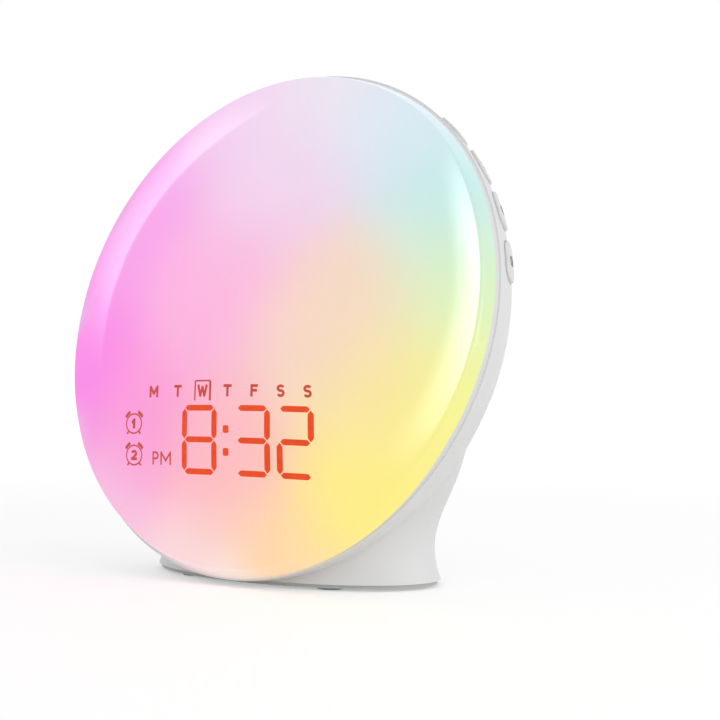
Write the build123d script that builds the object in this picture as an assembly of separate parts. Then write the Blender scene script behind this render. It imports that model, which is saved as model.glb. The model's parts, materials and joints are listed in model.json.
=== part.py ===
from build123d import *
import os
from math import acos, cos, degrees, radians, sin, sqrt

# Sunrise alarm clock: a round lit lens on a bowl-shaped housing that leans back on an oval pedestal.
# Millimetres, +Z up, the clock faces -Y. Everything is drawn from the centre of the pedestal's foot
# and moved once, at the end, so that the origin is on the table below the middle of the clock.
# In the head frame, x is to the right of someone facing the clock, y is up along the leaning face,
# z points out of the face, and z = 0 is the seam.

# ---- posture
face_tilt = 13.6            # degrees the face leans back
rim_clearance = 2.2         # lowest point of the housing's rim above the table
face_forward = 13.0         # centre of the seam circle in front of the foot's centre
cut_past = 1.0              # a cut or a joined piece runs this far past the surface it meets

# ---- lens
lens_radius = 85.0
lens_lip_draft = 2.3        # how far the side of the lens draws in
lens_lip_height = 5.8       # side of the lens, seam to crease
lens_dome_rise = 9.8        # crease to the top of the dome
lens_wall = 2.2
lens_skirt_depth = 2.4      # collar that drops into the housing's mouth
lens_skirt_wall = 1.8
crease_round = 0.6
snap_bead = 0.35            # radius of the bead that clicks into the housing
bead_gap = 0.1              # bead in its groove
mouth_gap = 0.15            # collar to mouth, all round

# ---- bowl of the rear housing
bowl_step = 0.5             # housing's rim outside the lens, all round
bowl_depth = 43.0
bowl_fullness = 0.60        # Bezier handle, 0.5523 would be an ellipse
housing_wall = 2.4

# ---- pedestal: height, half width, centre along y, half depth of each oval section
pedestal_sections = (
    (2.0, 55.0, 0.25, 28.25),
    (7.0, 53.4, 0.25, 26.8),
    (16.0, 53.6, 0.0, 26.2),
    (28.0, 59.5, -1.5, 26.0),
    (40.0, 67.0, -6.0, 30.0),
    (52.0, 73.5, -12.5, 36.5),
    (66.0, 77.0, -16.5, 41.5),
)
pedestal_setback = 2.5      # the pedestal starts this far behind the seam

# ---- base plate, feet and their screws
foot_proud = 0.8            # rubber standing below the plate
foot_radius = 4.5
foot_recess = 0.6
foot_gap = 0.02             # foot in its recess, all round
foot_place = (28.0, 17.0)
plate_inset = 1.0           # plate edge inside the housing's foot
plate_thickness = 2.0
rim_gap = 0.15              # plate's locating rim to the housing wall
rim_wall = 1.6
rim_height = 2.2
base_screw_place = (38.5, 12.5)
base_boss_radius = 3.8
base_boss_top = 17.0
pillar_height = 2.4         # tube on the plate that meets the housing's boss

# ---- screws
screw_radius = 1.25
screw_head_radius = 2.5
screw_head_height = 1.5
screw_clearance = 0.35      # shank in a through hole
thread_gap = 0.03           # shank in its boss
screw_length = 10.0
screw_bore_depth = 12.0
head_gap = 0.3              # screw head in its counterbore, all round
head_round_share = 0.45     # rounding of a head over its height
cross_share = 1.04          # length of the cross recess over the head's radius
cross_width = 0.7
small_screw_radius = 0.8
small_head_radius = 1.6
small_head_height = 1.0
small_clearance = 0.2       # small shank in a through hole
light_screw_length = 2.8
post_screw_length = 6.0
speaker_screw_length = 3.6

# ---- rim buttons
button_angles = (43.0, 54.8, 66.6, 78.4)    # degrees from 12 o'clock
button_setback = 7.4        # button centre behind the seam
button_length = 13.2
button_width = 7.6
button_proud = 0.9
button_travel = 0.8
button_gap = 0.25           # cap in its window, all round
button_edge_round = 0.5
flange_reach = 1.3          # flange past each end of the cap
flange_height = 1.3
flange_overlap = 0.2        # cap into its flange
flange_gap = 0.12           # flange below the housing's inner wall
stem_radius = 1.5
switch_gap = 0.06           # stem above the switch at full travel

# ---- snooze button
snooze_setback = 13.6
snooze_radius = 9.0
snooze_proud = 1.9          # edge of the cap outside the bowl's rim
snooze_dome = 0.7
snooze_travel = 1.0
snooze_gap = 0.3
snooze_ribs = 36
snooze_rib_radius = 0.34    # groove between two ribs
snooze_rib_outside = 0.1    # groove's axis outside the cap
turret_radius = 12.2        # collar of the housing round the cap
turret_drop = 1.7           # collar's top inside the bowl's rim
turret_height = 25.8        # down into the bowl's wall
turret_draft = 0.2          # widening per millimetre of depth
turret_round = 0.8
turret_roof = 2.4
snooze_flange_radius = 10.2
snooze_flange_height = 1.2
snooze_stem_radius = 2.0

# ---- switches and their boards
switch_size = 6.0
switch_height = 3.1
plunger_radius = 1.75
plunger_height = 0.7
board_thickness = 1.2
key_board_width = 9.4
key_board_margin = 6.0      # degrees past the end buttons

# ---- light chassis
chassis_inset = 13.0        # chassis wall inside the lens's edge
chassis_wall = 1.8
chassis_floor_back = 16.0   # back of the floor behind the seam
chassis_floor = 1.8
chassis_bowl_round = 3.5    # inside corner of the reflector
chassis_flange_reach = 7.8  # flange outside the chassis wall
chassis_flange_back = 2.6
chassis_flange = 1.2
chassis_post_radius = 3.5
chassis_post_inset = 14.0   # post's axis inside the chassis wall
chassis_post_angles = (40.0, 105.0, 255.0, 320.0)
snooze_pad_rise = 0.6       # flat on the chassis wall for the snooze board
snooze_pad_margin = 0.5     # pad past each end of the board
snooze_board_size = (15.0, 11.0)
snooze_board_shift = 2.0    # board's middle in front of the button's axis

# ---- light board, each place measured inwards from the chassis wall
light_board_edge = 5.5
light_board_width = 28.5
light_rows = ((9.5, 18), (24.0, 14))        # inset of the row, lamps on a full circle
lamp_size = 3.5
lamp_height = 1.6
lamp_lens_radius = 1.3
lamp_lens_height = 0.4
light_screw_inset = 17.5
light_screw_angles = (20.0, 75.0, 285.0, 340.0)
head_notch = 0.6            # board cut back round the chassis screws' heads

# ---- display
digit_height = 22.0
digit_width = 15.0
digit_lean = -0.10          # sideways shift of a bar per millimetre of height
bar_width = 1.7
bar_gap = 0.5
digit_centres = (-10.4, 11.0, 27.2)
lone_bar_x = -20.8          # the leading 1 has two bars only
digit_centre_y = -43.4
colon_x = 0.8
colon_step = 7.0
colon_size = 1.9
weekday_y = -27.8
weekday_pitch = 10.65
weekday_centre = -1.4
weekday_window = (5.0, 4.6)
bell_centres = ((-41.6, -37.9), (-40.6, -48.4))
bell_window = 3.4
afternoon_centre = (-26.6, -49.6)
afternoon_window = (8.6, 4.6)
light_box = (-48.6, 37.6, -57.2, -22.6)     # left, right, bottom, top
light_box_front = 4.0       # in front of the seam, just behind the lens
light_box_height = 10.0
window_depth = 0.8          # milky inserts in the windows
insert_gap = 0.05
display_board_margin = 3.6
display_board_play = 2.4    # its corners are cut round this far inside the chassis wall
display_post_radius = 2.6
display_screws = ((-36.0, -20.8), (28.0, -20.8), (-20.0, -59.2), (20.0, -59.2))
light_board_play = 1.0      # light board's opening past the display board

# ---- speaker
speaker_front = 37.0        # frame face behind the seam
speaker_flange = 1.4
speaker_basket_back = 27.0
speaker_basket_radius = 11.5
speaker_wall = 1.0
magnet_radius = 12.5
magnet_height = 6.0
yoke_radius = 10.5
yoke_height = 1.6
basket_window_reach = 28.0  # degrees to each side of an open window's middle
surround_radius = 16.8
surround_gap = 0.1          # surround inside the frame's flange
cone_radius = 14.2
cone_depth = 5.0
cone_setback = 0.4          # behind the frame's face
coil_radius = 5.0
coil_gap = 1.0              # coil to the frame's back
cone_wall = 0.5
roll_share = 1.6            # half-round surround over the cone's wall
cap_sphere_radius = 9.0     # dust cap
cap_sink = 1.4              # its front behind the cone's neck
seat_ring = (17.2, 19.3)    # ring of the housing that the frame rests on, inner and outer radius
speaker_boss_place = 21.4
speaker_boss_radius = 2.6
speaker_bore_depth = 3.0
grille_pitch = 4.0
grille_hole_radius = 1.05
grille_rings = 3

# ---- main board in the pedestal
main_board_size = (62.0, 31.0)
main_board_y = 2.5
main_board_bottom = 10.6
main_post_radius = 2.8
main_post_place = (27.0, 12.4)
main_board_round = 2.0
processor_size = (12.0, 12.0, 1.6)
processor_place = (-16.0, -5.0)
processor_chamfer = 0.3
capacitor_radius = 3.2
capacitor_height = 8.0
capacitor_places = ((16.5, -7.0), (24.5, -3.0), (16.5, 1.0))
can_round = 0.4
can_groove = (0.4, 1.4, 0.15)               # radius, height, axis outside the can
header_size = (16.0, 5.0, 6.0)
cable_x = -4.0
cable_width = 12.0
cable_thickness = 0.9
cable_bend = 5.0
cable_drop = 12.0           # where it leaves, below the display's top
cable_reach = 10.0          # how far behind the chassis it turns down
cable_slot_gap = (1.0, 2.0)                 # slot past the cable's edge, half the slot's height

# ---- power inlet
jack_x = 12.0
jack_body = (9.0, 12.0, 10.5)
jack_nose_radius = 4.2
jack_nose_gap = 0.3
jack_recess = 0.6           # nose behind the housing's skin
jack_body_gap = 0.6         # body to the housing's inner wall
jack_bore_radius = 2.85
jack_bore_depth = 10.0
jack_pin_radius = 1.0
jack_pin_back = 1.2         # pin tip behind the mouth
jack_pin_round = 0.5

# ---- memory cell and its twist-lock door
cell_radius = 10.0
cell_height = 3.2
cell_cap = (1.6, 0.6)       # cap inside the can's edge, its height over the can
cell_round = 0.5
cell_gap = 0.3
door_radius = 12.0
door_gap = 0.3
door_lift = 0.1             # door's face above the plate's face
lug_reach = 1.6
lug_height = 1.0
lug_span = 26.0             # degrees
lug_play = 0.15
notch_ease = 2.0            # degrees past each end of a lug
door_turn = 40.0            # degrees from locked to free
cup_wall = 1.4
cup_roof = 0.9
contact_thickness = 0.3
top_leaf = (5.0, 2.0)       # half length, half width
side_leaf_half = 2.5
side_leaf_gap = 0.4         # leaf outside the cell
coin_slot = (14.0, 1.7, 0.8)
foot_round = 0.4

# ---- values that follow from the ones above
tilt = radians(face_tilt)
bowl_radius = lens_radius + bowl_step
face_height = rim_clearance + bowl_radius * cos(tilt)
snooze_top = bowl_radius + snooze_proud
turret_top = bowl_radius - turret_drop
turret_root = turret_top - turret_height
chassis_radius = lens_radius - chassis_inset
chassis_flange_radius = chassis_radius + chassis_flange_reach
chassis_post_place = chassis_radius - chassis_post_inset
snooze_pad = chassis_radius + snooze_pad_rise
light_board_outer = chassis_radius - light_board_edge
light_board_inner = light_board_outer - light_board_width
light_screw_place = chassis_radius - light_screw_inset
display_board_limit = chassis_radius - display_board_play
crease_radius = lens_radius - lens_lip_draft
mouth_radius = bowl_radius - housing_wall
skirt_radius = mouth_radius - mouth_gap
plate_bottom = foot_proud
shell_bottom = pedestal_sections[0][0]
plate_top = plate_bottom + plate_thickness
chassis_floor_front = chassis_floor_back - chassis_floor
board_outer = chassis_radius + board_thickness
plunger_top = board_outer + switch_height + plunger_height
light_box_back = light_box_front - light_box_height
main_board_top = main_board_bottom + board_thickness
door_bottom = plate_bottom + door_lift
lug_bottom = plate_top + lug_play
lug_top = lug_bottom + lug_height
cell_bottom = lug_top + cell_gap
cup_top = cell_bottom + cell_height + contact_thickness
cup_radius = door_radius + lug_reach + door_gap

head = Plane(origin=(0, -face_forward, face_height), x_dir=(1, 0, 0),
             z_dir=(0, -cos(tilt), sin(tilt))).location


# ---------------------------------------------------------------- shared shapes
def post(radius, bottom, top, x=0.0, y=0.0):
    """Round post or hole between two heights."""
    return Pos(x, y, bottom) * extrude(Circle(radius), top - bottom)


def block(x0, x1, y0, y1, z0, z1):
    """Box between two corners."""
    return Pos((x0 + x1) / 2, (y0 + y1) / 2, (z0 + z1) / 2) * Box(x1 - x0, y1 - y0, z1 - z0)


def ring(outer, inner, bottom, top):
    """Round tube about z."""
    return post(outer, bottom, top) - post(inner, bottom, top)


def sector(outer, inner, start, end):
    """Flat piece of a ring between two angles, in degrees from +y, clockwise."""
    a0, a1 = radians(start), radians(end)
    mid = (a0 + a1) / 2
    far = [(r * sin(a), r * cos(a)) for r, a in ((outer, a0), (outer, mid), (outer, a1))]
    near = [(r * sin(a), r * cos(a)) for r, a in ((inner, a1), (inner, mid), (inner, a0))]
    outline = ThreePointArc(*far) + Line(far[2], near[0]) + ThreePointArc(*near) + Line(near[2], far[0])
    return make_face(outline)


def dome_arc(reach, lip, peak):
    """Arc from (reach, lip) to the axis at (0, peak), with its centre on the axis."""
    rise = peak - lip
    radius = (reach ** 2 + rise ** 2) / (2 * rise)
    start = degrees(acos(reach / radius))
    return CenterArc((0, peak - radius), radius, start, 90 - start)


def at_clock(angle):
    """Turn about the face's axis, clockwise from 12 o'clock."""
    return Rot(0, 0, -angle)


def polar(radius, angle):
    """Point on the face at a clock angle."""
    return radius * sin(radians(angle)), radius * cos(radians(angle))


def group(shapes):
    """Separate solids kept together in one node."""
    return Compound([solid for shape in shapes for solid in shape.solids()])


def crossed_screw(radius, head_radius, head_height, length):
    """Pan-head screw with its shank along -z and the seat of its head at z = 0."""
    head_shape = post(head_radius, 0, head_height)
    head_shape = fillet(head_shape.edges().sort_by(Axis.Z)[-1], head_round_share * head_height)
    cross = Box(cross_share * head_radius, cross_width, head_height)
    cross += Box(cross_width, cross_share * head_radius, head_height)
    return head_shape + post(radius, -length, 0) - Pos(0, 0, head_height) * cross


# ---------------------------------------------------------------- rear housing
def bowl_solid(radius, depth):
    """Solid bowl: flat mouth at z = 0, one Bezier quarter turned about z."""
    outline = Line((0, -depth), (0, 0)) + Line((0, 0), (radius, 0))
    outline += Bezier((radius, 0), (radius, -bowl_fullness * depth), (bowl_fullness * radius, -depth),
                      (0, -depth))
    return revolve(Plane.XZ * make_face(outline), Axis.Z)


def bowl_radius_at(radius, depth, setback):
    """Radius of that bowl at a distance behind its mouth, by halving the Bezier's parameter."""
    low, high = 0.0, 1.0
    for _ in range(40):
        u = (low + high) / 2
        reach = depth * (3 * u * (1 - u) ** 2 * bowl_fullness + 3 * u * u * (1 - u) + u ** 3)
        low, high = (u, high) if reach < setback else (low, u)
    return radius * ((1 - u) ** 3 + 3 * u * (1 - u) ** 2 + 3 * u * u * (1 - u) * bowl_fullness)


def behind_face(shape, setback):
    """Cut away what stands in front of a plane parallel to the seam."""
    deep = 4 * bowl_radius
    return shape - head * block(-deep, deep, -deep, deep, -setback, deep)


def pedestal_solid(inset):
    """Oval pedestal, lofted through its sections, each drawn in by the inset."""
    ovals = [Pos(0, y, z) * Ellipse(a - inset, b - inset) for z, a, y, b in pedestal_sections]
    return behind_face(loft(ovals), pedestal_setback + inset)


def foot_oval(inset, bottom, top):
    """Upright oval block with the outline of the housing's foot."""
    _, a, y, b = pedestal_sections[0]
    return Pos(0, y, bottom) * extrude(Ellipse(a - inset, b - inset), top - bottom)


def below_foot():
    """Everything under the housing's flat bottom edge."""
    deep = 2 * bowl_radius
    return block(-deep, deep, -deep, deep, shell_bottom - deep, shell_bottom)


def turret():
    """Level collar round the snooze cap: a drafted mound moulded on the bowl at 12 o'clock."""
    wide = turret_radius + turret_draft * turret_height
    mound = Pos(0, 0, turret_root + turret_height / 2) * Cone(wide, turret_radius, turret_height)
    mound = radial(fillet(mound.edges().sort_by(Axis.Z)[-1], turret_round))
    mound &= block(-bowl_radius, bowl_radius, 0, bowl_radius, -bowl_depth, 0)
    return mound - bowl_solid(mouth_radius, bowl_depth - housing_wall)


def snooze_cuts():
    """Bore for the snooze cap and the wider pocket below it for the flange."""
    bore = post(snooze_radius + snooze_gap, snooze_pad, bowl_radius)
    pocket = post(snooze_flange_radius + snooze_gap, snooze_pad, turret_top - turret_roof)
    return [radial(bore), radial(pocket)]


def radial(shape):
    """Turn a shape built along +z so that it points to 12 o'clock at the snooze button's setback."""
    return Pos(0, 0, -snooze_setback) * Rot(-90, 0, 0) * shape


def button_window(gap, inner, outer):
    """Slot-shaped prism through the rim at 12 o'clock, at the rim buttons' setback."""
    outline = SlotOverall(button_length + 2 * gap, button_width + 2 * gap)
    seat = Plane(origin=(0, inner, -button_setback), x_dir=(1, 0, 0), z_dir=(0, 1, 0))
    return extrude(seat * outline, outer - inner)


def all_button_angles():
    """Clock angles of the right bank, then the left bank."""
    return button_angles + tuple(-a for a in button_angles)


def grille():
    """Round holes on a triangular lattice, kept within a hexagon."""
    holes = []
    for row in range(-grille_rings, grille_rings + 1):
        count = 2 * grille_rings + 1 - abs(row)
        for k in range(count):
            x = (k - (count - 1) / 2) * grille_pitch
            y = row * grille_pitch * sqrt(3) / 2
            holes.append(post(grille_hole_radius, -bowl_depth - cut_past, 2 * housing_wall - bowl_depth, x, y))
    return holes


def wall_posts(places, radius, front):
    """Posts that stand on the bowl's back wall and end level, the given distance behind the seam."""
    posts = Part() + [post(radius, -bowl_depth, -front, x, y) for x, y in places]
    skin = housing_wall / 2
    return posts & bowl_solid(bowl_radius - skin, bowl_depth - skin)


def rear_housing():
    """One moulding: bowl, pedestal, snooze collar, bosses, button windows and grille."""
    outside = head * bowl_solid(bowl_radius, bowl_depth) + pedestal_solid(0)
    inside = head * bowl_solid(mouth_radius, bowl_depth - housing_wall) + pedestal_solid(housing_wall)
    shell = outside - inside - below_foot()

    posts = wall_posts([polar(chassis_post_place, a) for a in chassis_post_angles],
                       chassis_post_radius, chassis_floor_back)
    seats = wall_posts(speaker_boss_places(), speaker_boss_radius, speaker_front)
    in_wall = bowl_solid(bowl_radius - housing_wall / 2, bowl_depth - housing_wall / 2)
    seats += ring(seat_ring[1], seat_ring[0], -bowl_depth + housing_wall / 2, -speaker_front) & in_wall
    shell += head * (posts + seats + turret())

    bore = screw_radius + thread_gap
    seat = -chassis_floor_back
    cuts = [post(bore, seat - screw_bore_depth, seat, *polar(chassis_post_place, a))
            for a in chassis_post_angles]
    small_bore = small_screw_radius + thread_gap
    cuts += [post(small_bore, -speaker_front - speaker_bore_depth, -speaker_front, x, y)
             for x, y in speaker_boss_places()]
    cuts += [at_clock(a) * button_window(button_gap, board_outer, bowl_radius + bowl_depth)
             for a in all_button_angles()]
    cuts += snooze_cuts()
    cuts += [Pos(0, 0, -lens_skirt_depth / 2) * Torus(mouth_radius, snap_bead + bead_gap)]
    shell -= [head * c for c in cuts + grille()]

    x, y = base_screw_place
    inner_foot = pedestal_solid(housing_wall / 2)
    for sx in (-1, 1):
        for sy in (-1, 1):
            boss = post(base_boss_radius, plate_top + pillar_height, base_boss_top, sx * x, sy * y)
            shell += boss & inner_foot
            shell -= post(bore, plate_top, plate_top + screw_bore_depth, sx * x, sy * y)
    inlet = post(jack_nose_radius + jack_nose_gap, 0, bowl_radius)
    return shell - Pos(jack_x, 0, jack_axis_height()) * Rot(-90, 0, 0) * inlet


# ---------------------------------------------------------------- lens
def diffuser_lens():
    """Milky dome with a drafted side, a collar for the mouth and a snap bead."""

    def section(side, crease, lip, base, drop, rounding):
        peak = lens_lip_height + lens_dome_rise - drop
        outline = Polyline((0, peak), (0, base), (side, base), (crease, lip))
        face = make_face(outline + dome_arc(crease, lip, peak))
        corner = face.vertices().sort_by_distance((crease, lip))[0]
        return fillet(corner, rounding)

    skirt_inner = skirt_radius - lens_skirt_wall
    profile = section(lens_radius, crease_radius, lens_lip_height, 0, 0, crease_round)
    profile += Pos(skirt_radius - lens_skirt_wall / 2, 0) * Rectangle(lens_skirt_wall, 2 * lens_skirt_depth)
    profile += Pos(skirt_radius, -lens_skirt_depth / 2) * Circle(snap_bead)
    profile -= section(skirt_inner, crease_radius - lens_wall, lens_lip_height - lens_wall / 2,
                       -2 * lens_skirt_depth, lens_wall, crease_round / 2)
    return revolve(Plane.XZ * profile, Axis.Z)


# ---------------------------------------------------------------- buttons
def rim_button():
    """One rim button at 12 o'clock: cap that follows the rim, retaining flange and stem."""
    inner_wall = bowl_radius_at(mouth_radius, bowl_depth - housing_wall, button_setback + button_width / 2)
    flange_top = inner_wall - flange_gap
    flange_bottom = flange_top - flange_height
    skin = bowl_solid(bowl_radius + button_proud, bowl_depth + button_proud)
    cap = button_window(0, flange_top - flange_overlap, bowl_radius + bowl_depth) & skin
    rim_edges = cap.edges().filter_by(lambda e: e.bounding_box().min.Y > flange_top + housing_wall / 2)
    cap = fillet(rim_edges, button_edge_round)
    flange = button_window(0, board_outer, bowl_radius)
    ear = block(-button_length / 2 - flange_reach, button_length / 2 + flange_reach, board_outer,
                bowl_radius, -button_setback - button_width / 2, -button_setback + button_width / 2)
    band = ring(flange_top, flange_bottom, -2 * button_setback - button_width, 0)
    stem_bottom = plunger_top + button_travel + switch_gap
    seat = Plane(origin=(0, stem_bottom, -button_setback), x_dir=(1, 0, 0), z_dir=(0, 1, 0))
    stem = extrude(seat * Circle(stem_radius), flange_bottom + flange_height / 2 - stem_bottom)
    return cap + ((flange + ear) & band) + stem


def snooze_button():
    """Round cap with a ribbed edge and a shallow dome, on a flange and stem."""
    flange_top = turret_top - turret_roof - flange_gap
    flange_bottom = flange_top - snooze_flange_height
    stem_bottom = snooze_plunger_top() + snooze_travel + switch_gap
    peak = snooze_top + snooze_dome
    outline = Polyline((0, peak), (0, stem_bottom), (snooze_stem_radius, stem_bottom),
                       (snooze_stem_radius, flange_bottom), (snooze_flange_radius, flange_bottom),
                       (snooze_flange_radius, flange_top), (snooze_radius, flange_top),
                       (snooze_radius, snooze_top))
    outline += dome_arc(snooze_radius, snooze_top, peak)
    body = revolve(Plane.XZ * make_face(outline), Axis.Z)
    groove = post(snooze_rib_radius, turret_top, snooze_top + cut_past, snooze_radius + snooze_rib_outside)
    body -= [Rot(0, 0, 360 * k / snooze_ribs) * groove for k in range(snooze_ribs)]
    return radial(body)


def snooze_plunger_top():
    """Top of the snooze switch's plunger, from the face's axis."""
    return snooze_pad + board_thickness + switch_height + plunger_height


# ---------------------------------------------------------------- switches and boards
def tact_switch(seat):
    """Square tact switch at 12 o'clock with its base at the given radius, built along +z."""
    half = switch_size / 2
    body = block(-half, half, -half, half, seat, seat + switch_height)
    return body + post(plunger_radius, seat + switch_height, seat + switch_height + plunger_height)


def bank_switches(sign):
    """The four switches under one bank of rim buttons."""
    up = Pos(0, 0, -button_setback) * Rot(-90, 0, 0) * tact_switch(board_outer)
    return group(at_clock(sign * a) * up for a in button_angles)


def key_board(sign):
    """Curved strip board that lies round the chassis under one bank of buttons."""
    start = button_angles[0] - key_board_margin
    end = button_angles[-1] + key_board_margin
    strip = extrude(sector(board_outer, chassis_radius, start, end), key_board_width)
    strip = Pos(0, 0, -button_setback - key_board_width / 2) * strip
    return strip if sign > 0 else mirror(strip, about=Plane.YZ)


def snooze_board():
    """Small flat board on its pad at 12 o'clock."""
    wide, deep = snooze_board_size
    middle = snooze_board_shift - snooze_setback
    return block(-wide / 2, wide / 2, snooze_pad, snooze_pad + board_thickness, middle - deep / 2,
                 middle + deep / 2)


def snooze_switch():
    """Tact switch under the snooze button."""
    return radial(tact_switch(snooze_pad + board_thickness))


# ---------------------------------------------------------------- light chassis and light board
def light_chassis():
    """White reflector pan with a rounded corner, front flange, screw floor, posts and snooze pad."""
    inner = chassis_radius - chassis_wall
    bend = chassis_bowl_round
    outline = Polyline((0, -chassis_floor_back), (chassis_radius, -chassis_floor_back),
                       (chassis_radius, -chassis_flange_back), (chassis_flange_radius, -chassis_flange_back),
                       (chassis_flange_radius, chassis_flange - chassis_flange_back),
                       (inner, chassis_flange - chassis_flange_back), (inner, bend - chassis_floor_front))
    outline += CenterArc((inner - bend, bend - chassis_floor_front), bend, 0, -90)
    outline += Polyline((inner - bend, -chassis_floor_front), (0, -chassis_floor_front),
                        (0, -chassis_floor_back))
    pan = revolve(Plane.XZ * make_face(outline), Axis.Z)
    wide = snooze_board_size[0] / 2 + snooze_pad_margin
    pan += block(-wide, wide, inner, snooze_pad, -chassis_floor_back, -chassis_flange_back)
    pan += [post(display_post_radius, -chassis_floor_front, light_box_back - board_thickness, x, y)
            for x, y in display_screws]
    bore = small_screw_radius + thread_gap
    pan -= [post(bore, -chassis_floor_back, light_box_back, x, y) for x, y in display_screws]
    pan -= [post(bore, -chassis_floor_back, 0, *polar(light_screw_place, a)) for a in light_screw_angles]
    pan -= [post(screw_radius + screw_clearance, -chassis_floor_back, 0, *polar(chassis_post_place, a))
            for a in chassis_post_angles]
    slot_half = cable_width / 2 + cable_slot_gap[0]
    return pan - block(cable_x - slot_half, cable_x + slot_half, cable_entry_y() - cable_slot_gap[1],
                       cable_entry_y() + cable_slot_gap[1], -chassis_floor_back, -chassis_floor_front)


def display_outline(margin):
    """Outline of the display, grown by a margin, corners cut round."""
    left, right, bottom, top = light_box
    wide, tall = right - left + 2 * margin, top - bottom + 2 * margin
    sheet = Pos((left + right) / 2, (bottom + top) / 2) * Rectangle(wide, tall)
    return sheet & Circle(display_board_limit)


def light_board():
    """Ring-shaped board on the chassis floor, open where the display stands."""
    sheet = Circle(light_board_outer) - Circle(light_board_inner)
    left, right, bottom, top = light_box
    margin = display_board_margin + light_board_play
    sheet -= Pos((left + right) / 2, top + margin - light_board_outer) * Rectangle(
        right - left + 2 * margin, 2 * light_board_outer)
    sheet -= [Pos(*polar(chassis_post_place, a)) * Circle(screw_head_radius + head_notch)
              for a in chassis_post_angles]
    sheet -= [Pos(*polar(light_screw_place, a)) * Circle(small_screw_radius + small_clearance)
              for a in light_screw_angles]
    sheet = max(sheet.faces(), key=lambda face: face.area)
    return Pos(0, 0, -chassis_floor_front) * extrude(sheet, board_thickness)


def lamps():
    """Lamp packages, each a square body with a round lens, on the open part of the light board."""
    seat = -chassis_floor_front + board_thickness
    half = lamp_size / 2
    body = block(-half, half, -half, half, seat, seat + lamp_height)
    body += post(lamp_lens_radius, seat + lamp_height, seat + lamp_height + lamp_lens_height)
    clear = display_board_margin + light_board_play + lamp_size
    left, right, _, top = light_box
    placed = []
    for inset, count in light_rows:
        for k in range(count):
            x, y = polar(chassis_radius - inset, 360 * (k + 0.5) / count)
            if y > top + clear or x > right + clear or x < left - clear:
                placed.append(Pos(x, y, 0) * body)
    return group(placed)


# ---------------------------------------------------------------- display
def leaning(x, y):
    """A point of the display, shifted sideways by the digits' lean."""
    return x + digit_lean * (y - digit_centre_y), y


def bar(length, upright, x, y, grow):
    """Seven-segment bar with pointed ends, centred at x, y and leaning with its digit."""
    a, b = length / 2 + grow, bar_width / 2 + grow
    points = [(-a, 0), (-a + b, b), (a - b, b), (a, 0), (a - b, -b), (-a + b, -b)]
    turned = [(py, px) for px, py in points] if upright else points
    return make_face(Polyline(*(leaning(x + px, y + py) for px, py in turned), close=True))


def digit(x, grow):
    """The seven bars of one digit."""
    side = (digit_height - bar_width) / 2
    half = (digit_width - bar_width) / 2
    bars = [bar(2 * half - 2 * bar_gap, False, x, digit_centre_y + k * side, grow) for k in (-1, 0, 1)]
    bars += [bar(side - 2 * bar_gap, True, x + i * half, digit_centre_y + k * side / 2, grow)
             for i in (-1, 1) for k in (-1, 1)]
    return bars


def window(x, y, wide, tall, grow):
    """Rectangular window about a point, grown on every side."""
    return Pos(x, y) * Rectangle(wide + 2 * grow, tall + 2 * grow)


def display_windows(grow):
    """Every window of the display face, each grown by the same amount."""
    side = (digit_height - bar_width) / 2
    shapes = [piece for x in digit_centres for piece in digit(x, grow)]
    shapes += [bar(side - 2 * bar_gap, True, lone_bar_x, digit_centre_y + k * side / 2, grow)
               for k in (-1, 1)]
    shapes += [window(*leaning(colon_x, digit_centre_y + k * colon_step / 2), colon_size, colon_size, grow)
               for k in (-1, 1)]
    shapes += [window(weekday_centre + k * weekday_pitch, weekday_y, *weekday_window, grow)
               for k in range(-3, 4)]
    shapes += [Pos(x, y) * Circle(bell_window + grow) for x, y in bell_centres]
    return shapes + [window(*afternoon_centre, *afternoon_window, grow)]


def display_light_box():
    """Dark block that keeps the light of each window apart."""
    block_solid = Pos(0, 0, light_box_back) * extrude(display_outline(0), light_box_height)
    cells = [Pos(0, 0, light_box_back) * extrude(w, light_box_height) for w in display_windows(insert_gap)]
    return block_solid - cells


def display_inserts():
    """Milky inserts, flush with the front of the light box."""
    return group(Pos(0, 0, light_box_front - window_depth) * extrude(w, window_depth)
                 for w in display_windows(0))


def display_board():
    """Board behind the light box, with its screw holes."""
    sheet = display_outline(display_board_margin)
    sheet -= [Pos(x, y) * Circle(small_screw_radius + small_clearance) for x, y in display_screws]
    return Pos(0, 0, light_box_back - board_thickness) * extrude(sheet, board_thickness)


# ---------------------------------------------------------------- speaker, built facing -z
def speaker_frame():
    """Pressed basket: flange, sloping wall and back, with four open windows."""
    back = speaker_front - speaker_basket_back
    outline = Polyline((surround_radius, 0), (speaker_boss_place + speaker_boss_radius, 0),
                       (speaker_boss_place + speaker_boss_radius, speaker_flange),
                       (surround_radius + speaker_wall, speaker_flange), (speaker_basket_radius, back),
                       (coil_radius + coil_gap, back), (coil_radius + coil_gap, back - speaker_wall),
                       (speaker_basket_radius - speaker_wall, back - speaker_wall),
                       (surround_radius, speaker_flange), (surround_radius, 0))
    basket = revolve(Plane.XZ * make_face(outline), Axis.Z)
    opening = sector(surround_radius + speaker_wall, speaker_basket_radius - 2 * speaker_wall,
                     -basket_window_reach, basket_window_reach)
    tall = back - speaker_flange - 3 * speaker_wall
    basket -= [Rot(0, 0, 90 * k) * Pos(0, 0, speaker_flange + speaker_wall) * extrude(opening, tall)
               for k in range(4)]
    basket -= [post(small_screw_radius + small_clearance, 0, speaker_flange, x, y)
               for x, y in speaker_boss_places()]
    return Pos(0, 0, -speaker_front) * basket


def speaker_boss_places():
    """Axes of the speaker's four screws."""
    return [polar(speaker_boss_place, 45 + 90 * k) for k in range(4)]


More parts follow.
